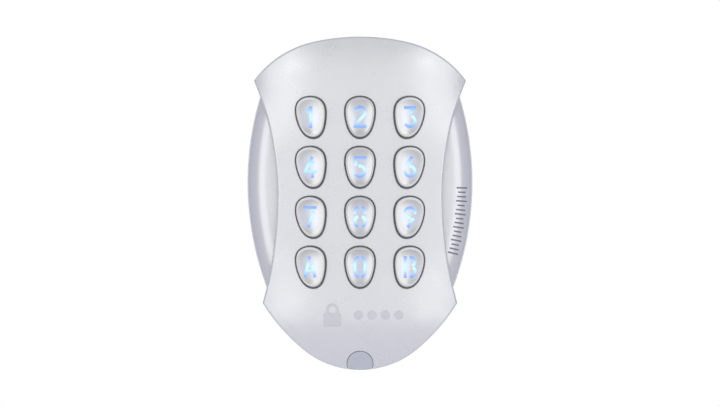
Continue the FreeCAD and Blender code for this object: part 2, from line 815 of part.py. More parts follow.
def light_guide(name, column):
    """The clear block inside a cap, with islands that fill the cut character."""
    clearance = size("guide_clearance")
    wall = size("cap_wall") + clearance
    block_front = size("cap_pocket_front") - clearance
    base = key_prism(column, -wall, size("flange_back") + clearance, block_front)
    islands = character(name, clearance, block_front - 1, size("key_rim"))
    first, *others = [island.cut(face_tools(column, size("guide_recess"))) for island in islands]
    return base.fuse([first] + others)


# ---------------------------------------------------------------- front cover


def cover_surface(lowered):
    """The cover's gently domed face as one smooth surface, lowered towards the wall by a distance."""
    half_width = 1.35 * size("upper_horn_x")
    half_height = 1.2 * max(size("cover_top"), size("cover_bottom"))
    columns, rows = 25, 37
    grid = []
    for column in range(columns):
        x = half_width * (2 * column / (columns - 1) - 1)
        line = []
        for row in range(rows):
            z = half_height * (2 * row / (rows - 1) - 1)
            line.append(Vector(x, lowered - cover_face(x, z), z))
        grid.append(line)
    surface = Part.BSplineSurface()
    surface.interpolate(grid)
    return surface.toShape()


def cover_face(x, z):
    """Depth of the cover's face: it droops to the sides and horns, and rolls back at both ends."""
    side = size("side_droop") * (x / size("waist_half")) ** 2
    beyond_waist = (abs(z - size("waist_z")) - size("horn_start")) / size("horn_blend")
    share = min(1.0, max(0.0, beyond_waist))
    horn = size("horn_droop") * (x / size("upper_horn_x")) ** 4 * share**2 * (3 - 2 * share)
    above = max(0.0, z - size("top_roll_start")) / (size("cover_top") - size("top_roll_start"))
    below = max(0.0, -z - size("bottom_roll_start")) / (size("cover_bottom") - size("bottom_roll_start"))
    roll = size("top_roll") * above**2.5 + size("bottom_roll") * below**2.5
    return size("cover_depth") - side - horn - roll


def cover_envelope(name, inset, lowered, back):
    """The hourglass, from a back depth up to the domed face."""
    prism = outline_body(f"{name}_prism", cover_outline(inset), (back, "cover_depth + 5"))
    dome = shape_feature(f"{name}_dome", cover_surface(lowered).extrude(Vector(0, 2 * size("cover_depth"), 0)))
    envelope = doc.addObject("Part::Common", name)
    envelope.Base = prism
    envelope.Tool = dome
    return envelope


def front_cover():
    outside = cover_envelope("cover_outside", 0.0, 0.0, "cover_foot")
    doc.recompute()
    rims = []
    for number, edge in enumerate(outside.Shape.Edges, start=1):
        middle = edge.valueAt((edge.FirstParameter + edge.LastParameter) / 2)
        if middle.y < -size("cover_foot") - 3 and edge.BoundBox.XLength + edge.BoundBox.ZLength > 1:
            rims.append((number, size("cover_edge_round"), size("cover_edge_round")))
    rounded = doc.addObject("Part::Fillet", "cover_rounded")
    rounded.Base = outside
    rounded.Edges = rims
    doc.recompute()
    hollow = cover_envelope("cover_hollow", size("cover_wall"), size("cover_wall"), "-1")
    field = rounded_rectangle(
        "cover_key_field",
        "window_half + 1",
        "window_top + 1",
        "window_bottom + 1",
        "window_corner",
        ("wing_front", "key_field_ceiling"),
    )
    collar_depth = ("moon_floor - moon_floor_thick", "cover_depth")
    collar = rod("moon_collar", "moon_radius + moon_wall", "0", "moon_z", collar_depth)
    lug = doc.addObject("Part::Common", "moon_lug")
    lug.Base = collar
    lug.Tool = outside
    clearance = size("wing_clearance")
    wing_room = housing_envelope("wing_room", -clearance, ("-1", f"wing_front + {clearance}"))
    openings = []
    for name, column, x, z in KEYS:
        prism = key_prism(column, size("key_gap"), size("key_field_ceiling") - 1, size("cover_depth") + 5)
        inwards = f"{x} - {column} * key_gap_shift"
        openings.append(shape_feature(f"key_opening_{name}", prism, inwards, f"{z} - key_gap_shift"))
    moon = rod("moon_pocket", "moon_radius", "0", "moon_z", ("moon_floor", "cover_depth + 5"))
    bore = rod("moon_bore", "security_hole", "0", "security_z", ("-1", "moon_floor + 1"))
    hollowed = cut("cover_hollowed", rounded, group("cover_hollows", [hollow, field]))
    seated = cut("cover_seated", hollowed, wing_room)
    lugged = fuse("cover_lugged", [seated, lug])
    opened = cut("cover_opened", lugged, group("cover_openings", openings + [moon, bore]))
    doc.recompute()
    return opening_rounds(opened)


def opening_rounds(opened):
    """The cover with the front edge of each key opening rounded over."""
    opening = key_prism(0, size("key_gap"), 0, 1).BoundBox
    rims = []
    for number, edge in enumerate(opened.Shape.Edges, start=1):
        box = edge.BoundBox
        egg_sized = abs(box.ZLength - opening.ZLength) < 0.1 and abs(box.XLength - opening.XLength) < 0.5
        if egg_sized and box.YMax < -size("key_field_ceiling") - 0.1:
            rims.append((number, size("opening_round"), size("opening_round")))
    rounded = doc.addObject("Part::Fillet", "front_cover")
    rounded.Base = opened
    rounded.Edges = rims
    return rounded


# ---------------------------------------------------------------- screw cap and security screw


def screw_cap():
    """The half-moon plug that hides the security screw, flush with the cover's face and its rounded rim."""
    disc_depth = ("moon_floor + moon_gap", "cover_depth + 5")
    disc = rod("moon_disc", "moon_radius - moon_gap", "0", "moon_z", disc_depth)
    plug = doc.addObject("Part::Common", "moon_plug")
    plug.Base = doc.getObject("cover_rounded")
    plug.Tool = disc
    room = rod("moon_screw_room", "cap_hollow", "0", "security_z", ("moon_floor - 1", "cap_hollow_front"))
    return cut("screw_cap", plug, room)


def security_screw():
    shank_depth = ("plate_thick / 4", "moon_floor + 0.5")
    head_depth = ("moon_floor + seat_gap", "moon_floor + seat_gap + security_head_thick")
    shank = rod("security_shank", "security_radius", "0", "security_z", shank_depth)
    head = rod("security_head_blank", "security_head", "0", "security_z", head_depth)
    socket = doc.addObject("Part::Prism", "security_socket_tool")
    socket.Polygon = 6
    bind(socket, "Circumradius", "security_socket")
    bind(socket, "Height", "security_head_thick")
    socket.Placement = FreeCAD.Placement(Vector(), FACING_FRONT)
    bind(socket, "Placement.Base.y", "-(moon_floor + 1.2)")
    bind(socket, "Placement.Base.z", "security_z")
    return cut("security_screw", fuse("security_blank", [shank, head]), socket)


# ---------------------------------------------------------------- keypad board and mat


def board_plate(name, margin, depth):
    """A circuit board, or the mat on it, that lies on the housing's four bosses."""
    return rounded_rectangle(
        name,
        f"board_half - ({margin})",
        f"board_top - ({margin})",
        f"board_bottom - ({margin})",
        "board_corner",
        depth,
    )


def drilled_board(name, margin, depth, extra=()):
    plate = board_plate(f"{name}_plate", margin, depth)
    holes = [
        rod(f"{name}_hole_{number}", "screw_hole_radius", x, z, (f"({depth[0]}) - 1", f"({depth[1]}) + 1"))
        for number, (x, z) in enumerate(SCREWS, start=1)
    ]
    return cut(name, plate, group(f"{name}_holes", holes + list(extra)))


def key_mat():
    """The silicone mat: a sheet with a dome and plunger under each key, hollow behind."""
    sheet_front = "keypad_board_front + mat_thick"
    domes = [board_plate("mat_sheet", "mat_margin", ("keypad_board_front + 0.05", sheet_front))]
    hollows = []
    for name, _, x, z in KEYS:
        shoulder = ("keypad_board_front + mat_thick / 2", "dome_shoulder")
        domes.append(taper(f"mat_dome_{name}", "dome_radius", "plunger_radius", x, z, shoulder))
        domes.append(rod(f"mat_plunger_{name}", "plunger_radius", x, z, ("dome_hollow_front", "mat_top")))
        depth = ("keypad_board_front - 1", "dome_hollow_front")
        hollows.append(rod(f"mat_hollow_{name}", "dome_hollow_radius", x, z, depth))
    for number, (x, z) in enumerate(SCREWS, start=1):
        depth = ("keypad_board_front - 1", f"{sheet_front} + 1")
        hollows.append(rod(f"mat_boss_room_{number}", "boss_radius + 0.4", x, z, depth))
    return cut("key_mat", fuse("mat_solid", domes), group("mat_hollows", hollows))


def carbon_pill(name, x, z):
    return rod(f"carbon_pill_{name}", "pill_radius", x, z, ("pill_back", "pill_back + pill_thick"))


def contact_pads():
    """Two half-moon pads for each key, split down the middle."""
    discs, splits = [], []
    front = "keypad_board_front + pad_thick"
    for name, _, x, z in KEYS:
        discs.append(rod(f"pad_disc_{name}", "pad_radius", x, z, ("keypad_board_front", front)))
        sides = (f"{x} - pad_split / 2", f"{x} + pad_split / 2")
        ends = (f"{z} - pad_radius - 1", f"{z} + pad_radius + 1")
        splits.append(block(f"pad_split_{name}", sides, ends, ("keypad_board_front - 1", f"{front} + 1")))
    return cut("contact_pads", group("pad_discs", discs), group("pad_splits", splits))


def backlight_leds():
    """Two small lamps under each dome, above and below its pads."""
    lamps = []
    for name, _, x, z in KEYS:
        for number, direction in enumerate((-1, 1)):
            middle = f"{z} + {direction} * led_offset"
            lamps.append(
                block(
                    f"led_{name}_{number}",
                    (f"{x} - led_x / 2", f"{x} + led_x / 2"),
                    (f"{middle} - led_z / 2", f"{middle} + led_z / 2"),
                    ("keypad_board_front + seat_gap", "keypad_board_front + seat_gap + led_thick"),
                )
            )
    return group("backlight_leds", lamps)


# ---------------------------------------------------------------- main board and its components

REAR = "main_board_back - seat_gap"


CLAMP_Z = "terminal_z + clamp_offset"


def terminal_places():
    """The number and the x of each terminal, evenly spaced about the middle."""
    ways = range(int(size("terminal_ways")))
    return [(way, f"({way} + 0.5 - terminal_ways / 2) * terminal_pitch") for way in ways]


def terminal_block():
    """A row of wire clamps, with a wire hole below each clamp screw."""
    half = "terminal_ways * terminal_pitch / 2"
    lower_edge, upper_edge = "terminal_z - terminal_deep / 2", "terminal_z + terminal_deep / 2"
    body = block("terminal_body", (f"-{half}", half), (lower_edge, upper_edge), ("part_back", REAR))
    well_radius = "terminal_screw_radius + clamp_clearance"
    well_depth = ("part_back - 1", "part_back + clamp_screw_front + clamp_clearance")
    mouth_height = (f"{lower_edge} - 1", f"{CLAMP_Z} - terminal_screw_radius - 1")
    mouth_depth = ("part_back + mouth_back", "part_back + mouth_front")
    rooms = []
    for way, x in terminal_places():
        rooms.append(rod(f"terminal_well_{way}", well_radius, x, CLAMP_Z, well_depth))
        sides = (f"{x} - mouth_wide / 2", f"{x} + mouth_wide / 2")
        rooms.append(block(f"terminal_mouth_{way}", sides, mouth_height, mouth_depth))
    return cut("terminal_block", body, group("terminal_rooms", rooms))


def terminal_screws():
    screws, slots = [], []
    screw_depth = ("part_back + clamp_screw_back", "part_back + clamp_screw_front")
    slot_height = (f"{CLAMP_Z} - 2 * terminal_screw_radius", f"{CLAMP_Z} + 2 * terminal_screw_radius")
    slot_depth = ("part_back", "part_back + clamp_screw_back + slot_deep")
    for way, x in terminal_places():
        screws.append(rod(f"clamp_screw_{way}", "terminal_screw_radius", x, CLAMP_Z, screw_depth))
        sides = (f"{x} - slot_wide / 2", f"{x} + slot_wide / 2")
        slots.append(block(f"clamp_slot_{way}", sides, slot_height, slot_depth))
    return cut("terminal_screws", group("clamp_blanks", screws), group("clamp_slots", slots))


def relays():
    sides = [("left", "-relay_x"), ("right", "relay_x")]
    return group(
        "relays",
        [
            block(
                f"relay_{side}",
                (f"{x} - relay_wide / 2", f"{x} + relay_wide / 2"),
                ("relay_z - relay_long / 2", "relay_z + relay_long / 2"),
                ("part_back", REAR),
            )
            for side, x in sides
        ],
    )


def buzzer():
    case = rod("buzzer_case", "buzzer_radius", "0", "buzzer_z", ("part_back + 0.5", REAR))
    port = rod("buzzer_port", "buzzer_radius / 5", "0", "buzzer_z", ("part_back", "part_back + 2.5"))
    return cut("buzzer", case, port)


def capacitors():
    return group(
        "capacitors",
        [
            rod(
                f"capacitor_{side}{number}",
                "capacitor_radius",
                f"{sign} * capacitor_x",
                f"capacitor_z - {number} * capacitor_step",
                ("part_back + 0.6", REAR),
            )
            for side, sign in (("left", -1), ("right", 1))
            for number in range(2)
        ],
    )


def chips():
    """The controller, its memory and a regulator, flat on the main board."""
    places = {
        "controller": (14.0, -4.0, 10.0, 10.0),
        "memory": (17.0, -17.0, 5.0, 6.0),
        "regulator": (-12.0, 17.0, 6.5, 6.2),
    }
    return group(
        "chips",
        [
            block(
                f"chip_{name}",
                (f"{x - wide / 2}", f"{x + wide / 2}"),
                (f"{z - tall / 2}", f"{z + tall / 2}"),
                (f"{REAR} - chip_thick", REAR),
            )
            for name, (x, z, wide, tall) in places.items()
        ],
    )


def board_connector():
    """The socket strip that joins the two boards."""
    return block(
        "board_connector",
        ("-connector_half", "connector_half"),
        ("connector_z - connector_deep / 2", "connector_z + connector_deep / 2"),
        ("main_board_front + seat_gap", "keypad_board_back - seat_gap"),
    )


def board_spacers():
    gap = ("main_board_front + seat_gap", "keypad_board_back - seat_gap")
    through = ("main_board_front - 1", "keypad_board_back + 1")
    tubes, bores = [], []
    for number, (x, z) in enumerate(SCREWS, start=1):
        tubes.append(rod(f"spacer_{number}", "spacer_radius", x, z, gap))
        bores.append(rod(f"spacer_bore_{number}", "screw_hole_radius", x, z, through))
    return cut("board_spacers", group("spacer_tubes", tubes), group("spacer_bores", bores))


def board_screws():
    screws, crosses = [], []
    head_back = f"{REAR} - screw_head_thick"
    deep = (f"{head_back} - 1", f"{head_back} + cross_deep")
    for number, (x, z) in enumerate(SCREWS, start=1):
        shank = rod(f"board_shank_{number}", "screw_radius", x, z, ("main_board_back - 0.5", "screw_tip"))
        head = rod(f"board_head_{number}", "screw_head_radius", x, z, (head_back, REAR))
        screws.append(fuse(f"board_screw_{number}", [shank, head]))
        long_x, long_z = ((f"{place} - cross_long / 2", f"{place} + cross_long / 2") for place in (x, z))
        thin_x, thin_z = ((f"{place} - cross_wide / 2", f"{place} + cross_wide / 2") for place in (x, z))
        crosses.append(block(f"cross_level_{number}", long_x, thin_z, deep))
        crosses.append(block(f"cross_upright_{number}", thin_x, long_z, deep))
    return cut("board_screws", group("board_screw_blanks", screws), group("board_crosses", crosses))


# ---------------------------------------------------------------- cable grommet and tamper switch


def cable_grommet():
    """A rubber ring snapped into the back plate, with a groove for the plate's edge."""
    gap = size("grommet_clearance")
    bore = size("grommet_bore")
    neck = size("grommet_neck") - gap
    lip = size("grommet_lip")
    plate = size("plate_thick")
    far = plate + gap + size("grommet_lip_thick")
    profile = [(0.1, bore), (far, bore), (far, lip), (plate + gap, lip), (plate + gap, neck), (0.1, neck)]
    return turned_body("cable_grommet", profile, "0", "grommet_z")


def tamper_switch():
    gap = size("running_gap")
    bore = size("plunger_rod") + gap
    outer = size("tamper_radius")
    back = size("tamper_back")
    front = size("main_board_back") - size("seat_gap")
    hollow = size("tamper_bore")
    lip = back + size("tamper_lip")
    profile = [(back, bore), (lip, bore), (lip, hollow), (front, hollow), (front, outer), (back, outer)]
    return turned_body("tamper_switch", profile, "tamper_x", "tamper_z")


def tamper_plunger():
    rod_radius = size("plunger_rod")
    collar = size("plunger_collar")
    collar_back = size("tamper_back") + size("tamper_lip") + size("plunger_release")
    collar_front = collar_back + size("plunger_collar_thick")
    end = size("plunger_end")
    profile = [
        (0.0, 0.0),
        (end, 0.0),
        (end, rod_radius),
        (collar_front, rod_radius),
        (collar_front, collar),
        (collar_back, collar),
        (collar_back, rod_radius),
        (0.0, rod_radius),
    ]
    return turned_body("tamper_plunger", profile, "tamper_x", "tamper_z")


def tamper_spring():
    """The coils of the plunger's spring, evenly spread between its collar and the board."""
    collar_front = "tamper_back + tamper_lip + plunger_release + plunger_collar_thick"
    coils = []
    for number in range(int(size("coil_count"))):
        coil = doc.addObject("Part::Torus", f"coil_{number}")
        bind(coil, "Radius1", "coil_radius")
        bind(coil, "Radius2", "coil_wire")
        coil.Placement = FreeCAD.Placement(Vector(), FACING_FRONT)
        share = f"({number} + 0.5) / coil_count"
        bind(coil, "Placement.Base.x", "tamper_x")
        bind(coil, "Placement.Base.y", f"-({collar_front} + {share} * (main_board_back - ({collar_front})))")
        bind(coil, "Placement.Base.z", "tamper_z")
        coils.append(coil)
    return group("tamper_spring", coils)


# ---------------------------------------------------------------- build every sub-part

parts = [
    front_cover(),
    rear_housing(),
    back_plate(),
    wall_gasket(),
    screw_cap(),
    security_screw(),
    drilled_board("keypad_board", "0", ("keypad_board_back", "keypad_board_front")),
    key_mat(),
    contact_pads(),
    backlight_leds(),
    drilled_board("main_board", "0", ("main_board_back", "main_board_front")),
    board_connector(),
    board_spacers(),
    board_screws(),
    terminal_block(),
    terminal_screws(),
    relays(),
    buzzer(),
    capacitors(),
    chips(),
    cable_grommet(),
    tamper_switch(),
    tamper_plunger(),
    tamper_spring(),
]
for name, column, x, z in KEYS:
    parts.append(shape_feature(f"key_cap_{name}", key_cap(name, column), x, z))
    parts.append(shape_feature(f"light_guide_{name}", light_guide(name, column), x, z))
    parts.append(carbon_pill(name, x, z))

doc.recompute()

# ---------------------------------------------------------------- check and write

for item in doc.Objects:
    if "Invalid" in item.State or "Error" in item.State:
        raise RuntimeError(f"{item.Name} failed: {item.State}")
for part in parts:
    if part.Shape.isNull() or not part.Shape.isValid():
        raise RuntimeError(f"{part.Label} has no valid shape")
    if part.Label.startswith("key_cap") and len(part.Shape.Solids) != 1:
        raise RuntimeError(f"{part.Label} has a loose middle")

os.makedirs("parts", exist_ok=True)
for part in parts:
    part.Shape.exportStep(f"parts/{part.Label}.step")
    print(f"{part.Label}: {len(part.Shape.Solids)} solid(s), {part.Shape.Volume:.1f} mm3")
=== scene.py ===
# %% [markdown]
# # An alarm keypad for the wall
# The panel is an hourglass of painted metal over a winged plastic body, with twelve chromed keys whose
# characters are cut right through and lit blue from behind. The mechanical parts come ready made from the
# frame; this lesson gives them their finishes, adds the small applied marks and lights the whole panel.
# We work in metres, +Z is up and the front of the panel faces -Y.

import json
import math

import bmesh
import bpy
from mathutils import Matrix, Vector
from mathutils.bvhtree import BVHTree


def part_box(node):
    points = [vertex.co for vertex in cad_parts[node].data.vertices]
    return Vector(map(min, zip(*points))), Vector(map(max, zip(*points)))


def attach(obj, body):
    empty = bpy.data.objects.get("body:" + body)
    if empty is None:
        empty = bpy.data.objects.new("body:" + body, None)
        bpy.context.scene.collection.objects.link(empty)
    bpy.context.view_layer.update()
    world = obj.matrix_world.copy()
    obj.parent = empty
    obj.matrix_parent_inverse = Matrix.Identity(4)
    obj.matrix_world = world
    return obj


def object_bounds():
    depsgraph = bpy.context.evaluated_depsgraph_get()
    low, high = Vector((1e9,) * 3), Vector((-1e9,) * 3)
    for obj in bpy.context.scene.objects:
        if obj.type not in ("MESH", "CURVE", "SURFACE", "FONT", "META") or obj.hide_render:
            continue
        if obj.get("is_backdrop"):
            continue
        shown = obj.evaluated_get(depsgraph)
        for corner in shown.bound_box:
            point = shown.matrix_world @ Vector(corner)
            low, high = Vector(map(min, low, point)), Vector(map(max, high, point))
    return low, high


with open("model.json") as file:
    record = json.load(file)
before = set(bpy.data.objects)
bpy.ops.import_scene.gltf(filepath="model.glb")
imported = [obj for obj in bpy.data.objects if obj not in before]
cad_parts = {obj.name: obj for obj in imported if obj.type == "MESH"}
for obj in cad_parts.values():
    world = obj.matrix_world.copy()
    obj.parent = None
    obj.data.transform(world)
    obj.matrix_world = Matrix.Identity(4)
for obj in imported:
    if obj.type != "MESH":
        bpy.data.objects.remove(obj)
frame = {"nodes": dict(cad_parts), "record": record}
nodes = frame["nodes"]
cad_low, cad_high = (Vector(corner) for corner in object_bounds())
MM = 0.001
print("panel size in mm:", [round(side / MM, 1) for side in cad_high - cad_low])

# %% [markdown]
# ## Camera
# A small panel seen straight on through a long lens shows almost no perspective. We place the camera a
# good way in front of the cover and choose the lens from the width that the picture should take in at the
# front face, so that the panel sits centred with a broad margin on both sides.

# %% Camera
front_y = cad_low.y
camera_distance = 1.25
picture_width = 304.7 * MM
middle = (cad_low + cad_high) / 2

camera_data = bpy.data.cameras.new("front_camera")
camera_data.sensor_width = 36.0
camera_data.lens = camera_data.sensor_width * camera_distance / picture_width
camera = bpy.data.objects.new("front_camera", camera_data)
camera.location = (middle.x, front_y - camera_distance, middle.z)
camera.rotation_euler = (math.radians(90), 0, 0)
bpy.context.scene.collection.objects.link(camera)
bpy.context.scene.camera = camera
print(f"lens {camera_data.lens:.0f} mm")

# %% [markdown]
# ## The studio
# Shiny metal is drawn by what it mirrors, so the studio matters as much as the paint. The room is a soft
# grey in front, with a tall white panel on either side; it falls off to a dark violet grey far round the
# sides and to blue below. The rounded wings and the rolled foot of the cover pick up those shades, and the
# keys mirror the white panels. The sky of the scene paints all this by direction. Camera rays skip it and
# see a plain white backdrop.

# %% Room light
world = bpy.data.worlds.new("white_studio")
bpy.context.scene.world = world
world.use_nodes = True
room = world.node_tree
room.nodes.clear()


def add_node(tree, kind, **settings):
    """A node of a kind, added to a tree, with some of its settings set."""
    node = tree.nodes.new(kind)
    for name, value in settings.items():
        setattr(node, name, value)
    return node


def room_node(kind, **settings):
    return add_node(room, kind, **settings)


def ramp(value, low, high):
    """A smooth step of a value, from 0 at low to 1 at high."""
    step = room_node("ShaderNodeMapRange", interpolation_type="SMOOTHSTEP")
    step.inputs["From Min"].default_value = low
    step.inputs["From Max"].default_value = high
    room.links.new(value, step.inputs["Value"])
    return step.outputs["Result"]


def product(first, second):
    """One ramp times another."""
    times = room_node("ShaderNodeMath", operation="MULTIPLY")
    room.links.new(first, times.inputs[0])
    room.links.new(second, times.inputs[1])
    return times.outputs[0]


def tint(amount, below, colour):
    """Lays a colour over another by an amount."""
    mix = room_node("ShaderNodeMix", data_type="RGBA")
    colours = [socket for socket in mix.inputs if socket.type == "RGBA"]
    room.links.new(amount, mix.inputs["Factor"])
    if isinstance(below, tuple):
        colours[0].default_value = (*below, 1)
    else:
        room.links.new(below, colours[0])
    colours[1].default_value = (*colour, 1)
    return next(socket for socket in mix.outputs if socket.type == "RGBA")


direction = room_node("ShaderNodeTexCoord").outputs["Generated"]
split = room_node("ShaderNodeSeparateXYZ")
room.links.new(direction, split.inputs["Vector"])
sideways = room_node("ShaderNodeMath", operation="ABSOLUTE")
room.links.new(split.outputs["X"], sideways.inputs[0])

front_grey = (0.73, 0.73, 0.745)
ceiling_grey = (0.42, 0.42, 0.43)
panel_white = (1.18, 1.18, 1.18)
floor_blue = (0.28, 0.34, 0.52)
side_violet = (0.30, 0.305, 0.375)
wall_white = (0.80, 0.80, 0.82)
ceiling_band = (0.24, 0.56)
floor_band = (-0.26, -0.62)
panel_edge_band = (0.18, 0.34)
panel_top_band = (0.50, 0.40)
panel_foot_band = (-0.36, -0.20)
side_band = (0.72, 0.86)
beside_band = (-0.50, -0.20)
wall_band = (0.70, 0.95)
across, depth_way, up = sideways.outputs[0], split.outputs["Y"], split.outputs["Z"]
sky = tint(ramp(up, *ceiling_band), front_grey, ceiling_grey)
sky = tint(ramp(up, *floor_band), sky, floor_blue)
panel_height = product(ramp(up, *panel_top_band), ramp(up, *panel_foot_band))
sky = tint(product(ramp(across, *panel_edge_band), panel_height), sky, panel_white)
sky = tint(ramp(across, *side_band), sky, side_violet)
sky = tint(ramp(depth_way, *beside_band), sky, side_violet)
sky = tint(ramp(depth_way, *wall_band), sky, wall_white)

studio_strength = 1.25
studio = room_node("ShaderNodeBackground")
studio.inputs["Strength"].default_value = studio_strength
room.links.new(sky, studio.inputs["Color"])
backdrop = room_node("ShaderNodeBackground")
backdrop.inputs["Color"].default_value = (1, 1, 1, 1)
backdrop.inputs["Strength"].default_value = 1.0
seen = room_node("ShaderNodeLightPath")
either = room_node("ShaderNodeMixShader")
room.links.new(seen.outputs["Is Camera Ray"], either.inputs["Fac"])
room.links.new(studio.outputs[0], either.inputs[1])
room.links.new(backdrop.outputs[0], either.inputs[2])
room.links.new(either.outputs[0], room_node("ShaderNodeOutputWorld").inputs["Surface"])
bpy.context.scene.view_settings.view_transform = "Standard"
print("room:", len(room.nodes), "nodes")

# %% [markdown]
# Two softboxes stand in front of the panel, up on the left and on the right. They give the cover its bright
# upper shoulders. A pale floor far below catches what light falls past the panel.

# %% Softboxes and floor


def softbox(name, turn, lift, distance, width, height, brightness):
    """A rectangular lamp, placed by its angles from straight in front, that faces the panel."""
    lamp = bpy.data.lights.new(name, "AREA")
    lamp.shape = "RECTANGLE"
    lamp.size, lamp.size_y = width, height
    lamp.energy = brightness * math.pi * width * height
    lamp_object = bpy.data.objects.new(name, lamp)
    turn, lift = math.radians(turn), math.radians(lift)
    aim = Vector((math.sin(turn) * math.cos(lift), -math.cos(turn) * math.cos(lift), math.sin(lift)))
    lamp_object.location = middle + distance * aim
    lamp_object.rotation_euler = (-aim).to_track_quat("-Z", "Y").to_euler()
    bpy.context.scene.collection.objects.link(lamp_object)


lamp_turn, lamp_lift, lamp_distance = 24, 26, 1.2
lamp_width, lamp_height, lamp_brightness = 0.36, 0.26, 0.65
for name, side in (("left_softbox", -1), ("right_softbox", 1)):
    softbox(name, side * lamp_turn, lamp_lift, lamp_distance, lamp_width, lamp_height, lamp_brightness)

floor_half = 1.1
floor_level = -0.42
floor_mesh = bmesh.new()
bmesh.ops.create_grid(floor_mesh, x_segments=8, y_segments=8, size=floor_half)
bmesh.ops.translate(floor_mesh, verts=floor_mesh.verts, vec=(0, 0, floor_level))
floor_data = bpy.data.meshes.new("studio_floor")
floor_mesh.to_mesh(floor_data)
floor_mesh.free()
studio_floor = bpy.data.objects.new("studio_floor", floor_data)
bpy.context.scene.collection.objects.link(studio_floor)
studio_floor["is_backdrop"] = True
print("two softboxes and a floor")

# %% [markdown]
# ## Shared texture helpers
# Every finish needs the same few things: noise at a real size, a way to turn it into a range of roughness,
# and a little relief. We wrap the noise once in a node group that gives a broad cloud and a fine grain, so
# each material only says how large the grain is and what it changes.

# %% Grain group
grain_group = bpy.data.node_groups.new("surface_grain", "ShaderNodeTree")
grain_group.interface.new_socket("Size", in_out="INPUT", socket_type="NodeSocketFloat")
grain_group.interface.new_socket("Broad", in_out="OUTPUT", socket_type="NodeSocketFloat")
grain_group.interface.new_socket("Fine", in_out="OUTPUT", socket_type="NodeSocketFloat")
group_in = add_node(grain_group, "NodeGroupInput")
group_out = add_node(grain_group, "NodeGroupOutput")
place = add_node(grain_group, "ShaderNodeTexCoord")
per_size = add_node(grain_group, "ShaderNodeMath", operation="DIVIDE")
per_size.inputs[0].default_value = 1.0
grain_group.links.new(group_in.outputs["Size"], per_size.inputs[1])
for output, share, detail in (("Broad", 0.12, 2.0), ("Fine", 1.0, 4.0)):
    scale = add_node(grain_group, "ShaderNodeMath", operation="MULTIPLY")
    scale.inputs[1].default_value = share
    noise = add_node(grain_group, "ShaderNodeTexNoise")
    noise.inputs["Detail"].default_value = detail
    grain_group.links.new(per_size.outputs[0], scale.inputs[0])
    grain_group.links.new(scale.outputs[0], noise.inputs["Scale"])
    grain_group.links.new(place.outputs["Object"], noise.inputs["Vector"])
    grain_group.links.new(noise.outputs["Fac"], group_out.inputs[output])
print("grain group ready")

# %% [markdown]
# The other helper is a small class: one object per material, with a line for each thing that a finish does.
# It keeps the material cells short, because they only say which socket follows which texture.

# %% Material helpers


class Finish:
    """A material with its shader, and short ways to drive its sockets."""

    def __init__(self, name, **sockets):
        self.material = bpy.data.materials.new(name)
        self.material.use_nodes = True
        self.tree = self.material.node_tree
        self.shader = self.tree.nodes["Principled BSDF"]
        for socket, value in sockets.items():
            self.shader.inputs[socket.replace("_", " ").title()].default_value = value

    def node(self, kind, **settings):
        return add_node(self.tree, kind, **settings)

    def grain(self, millimetres):
        group = self.node("ShaderNodeGroup", node_tree=grain_group)
        group.inputs["Size"].default_value = millimetres * MM
        return group

    def between(self, value, low, high, start=0.25, end=0.75):
        """Maps the middle of a noise to a range, smoothly at both ends."""
        step = self.node("ShaderNodeMapRange", interpolation_type="SMOOTHSTEP")
        numbers = (("From Min", start), ("From Max", end), ("To Min", low), ("To Max", high))
        for socket, number in numbers:
            step.inputs[socket].default_value = number
        self.tree.links.new(value, step.inputs["Value"])
        return step.outputs["Result"]

    def blend(self, amount, dark, light):
        """Mixes two colours, either of which may be the output of another node."""
        mix = self.node("ShaderNodeMix", data_type="RGBA")
        for name, colour in (("A", dark), ("B", light)):
            if isinstance(colour, tuple):
                mix.inputs[name].default_value = (*colour, 1)
            else:
                self.tree.links.new(colour, mix.inputs[name])
        self.tree.links.new(amount, mix.inputs["Factor"])
        return mix.outputs["Result"]

    def relief(self, value, depth_mm):
        """Raises the surface by a texture, to a depth at most."""
        bump = self.node("ShaderNodeBump")
        bump.inputs["Distance"].default_value = depth_mm * MM
        bump.inputs["Strength"].default_value = 1.0
        self.tree.links.new(value, bump.inputs["Height"])
        self.drive("Normal", bump.outputs["Normal"])

    def drive(self, socket, value):
        self.tree.links.new(value, self.shader.inputs[socket])


finishes = {}
print("material helper ready")

# %% [markdown]
# ## Pearl paint on the cover
# The cover is die-cast metal under a pearl silver paint with a clear coat. Metal flake gives the paint a
# faint sparkle, and the coat lies with a very slight orange peel. So the base is a half metallic silver with
# fine flake in its colour, a broad drift in its roughness, and a clear coat over a shallow relief.

# %% Pearl paint
pearl = Finish("pearl_paint", metallic=0.35, coat_weight=0.5, coat_roughness=0.12)
pearl_grain = pearl.grain(1.1)
flake = pearl.grain(0.3)
flake_tone = pearl.between(flake.outputs["Fine"], 0.0, 1.0)
drift_tone = pearl.blend(pearl_grain.outputs["Broad"], (0.765, 0.770, 0.785), (0.805, 0.810, 0.820))
pearl.drive("Base Color", pearl.blend(flake_tone, drift_tone, (0.82, 0.825, 0.835)))
pearl.drive("Roughness", pearl.between(pearl_grain.outputs["Broad"], 0.26, 0.34))
pearl.relief(pearl_grain.outputs["Fine"], 0.001)
finishes["pearl_metal"] = pearl.material
print("pearl paint:", len(pearl.tree.nodes), "nodes")

# %% [markdown]
# ## Satin wings
# The rear body is moulded plastic painted to match, a touch smoother and more violet than the metal. It has
# no flake, only the soft waviness of a moulding.

